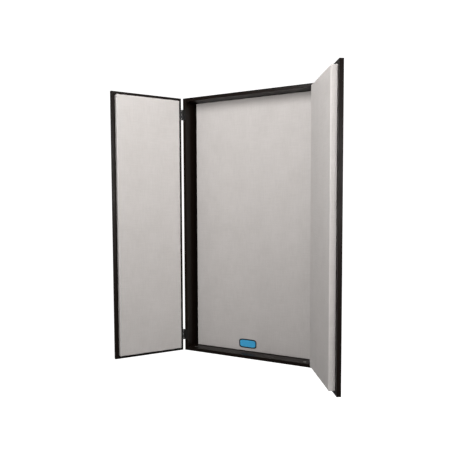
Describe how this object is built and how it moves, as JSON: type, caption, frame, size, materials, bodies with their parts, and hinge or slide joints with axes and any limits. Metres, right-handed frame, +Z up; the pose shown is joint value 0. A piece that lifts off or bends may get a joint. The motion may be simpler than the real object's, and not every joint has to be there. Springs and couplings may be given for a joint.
{
  "type": "wall-hung folding vocal booth",
  "caption": "Shallow black wall cabinet with a recessed fabric acoustic panel and two full-height doors that carry fabric panels and swing open round the singer.",
  "frame": {"origin": "middle of the wall cleat's line of screw holes, on the wall plane", "axes": "+Z up, +Y into the wall, the room and the opened doors on the -Y side, +X to the right as seen from the room"},
  "size_m": [1.1115, 0.4271, 1.256],
  "materials": {
    "black_board": "satin black lacquer on fibreboard",
    "hardboard": "bare tempered hardboard",
    "plain_board": "bare birch plywood",
    "panel_fabric": "woven acoustic cloth, warm light grey",
    "glass_wool": "rigid glass wool board",
    "zinc": "die-cast zinc, dull",
    "beech": "bare beech",
    "zinc_plated_steel": "zinc plated",
    "black_steel": "black powder coat",
    "plate": "satin moulded plate, blank"
  },
  "bodies": {
    "cabinet": {"left_side_board": "black_board", "right_side_board": "black_board", "top_board": "black_board", "bottom_board": "black_board", "back_board": "hardboard", "hanging_cleat": "plain_board", "wall_cleat": "plain_board", "lower_rail": "plain_board", "back_panel_fabric": "panel_fabric", "back_panel_core": "glass_wool", "cam_locks": "zinc", "cam_bolts": "zinc", "wood_dowels": "beech", "back_screws": "zinc_plated_steel", "back_clip_screws": "zinc_plated_steel", "back_panel_clips": "zinc_plated_steel", "maker_plate": "plate", "left_frame_leaf_screws": "black_steel", "left_upper_frame_leaf": "black_steel", "left_upper_hinge_pin": "black_steel", "left_lower_frame_leaf": "black_steel", "left_lower_hinge_pin": "black_steel", "right_frame_leaf_screws": "black_steel", "right_upper_frame_leaf": "black_steel", "right_upper_hinge_pin": "black_steel", "right_lower_frame_leaf": "black_steel", "right_lower_hinge_pin": "black_steel"},
    "left_door": {"left_door_board": "black_board", "left_door_fabric": "panel_fabric", "left_door_core": "glass_wool", "left_door_clip_screws": "zinc_plated_steel", "left_door_clips": "zinc_plated_steel", "left_door_leaf_screws": "black_steel", "left_upper_door_leaf": "black_steel", "left_lower_door_leaf": "black_steel"},
    "right_door": {"right_door_board": "black_board", "right_door_fabric": "panel_fabric", "right_door_core": "glass_wool", "right_door_clip_screws": "zinc_plated_steel", "right_door_clips": "zinc_plated_steel", "right_door_leaf_screws": "black_steel", "right_upper_door_leaf": "black_steel", "right_lower_door_leaf": "black_steel"}
  },
  "joints": [
    {"name": "left_door_hinge", "type": "hinge", "parent": "cabinet", "child": "left_door", "pos_m": [-0.346, -0.1399, -0.52], "axis": [0, 0, -1], "range_deg": [-125.3, 69.7]},
    {"name": "right_door_hinge", "type": "hinge", "parent": "cabinet", "child": "right_door", "pos_m": [0.346, -0.1399, -0.52], "axis": [0, 0, 1], "range_deg": [-123.1, 71.9]}
  ]
}
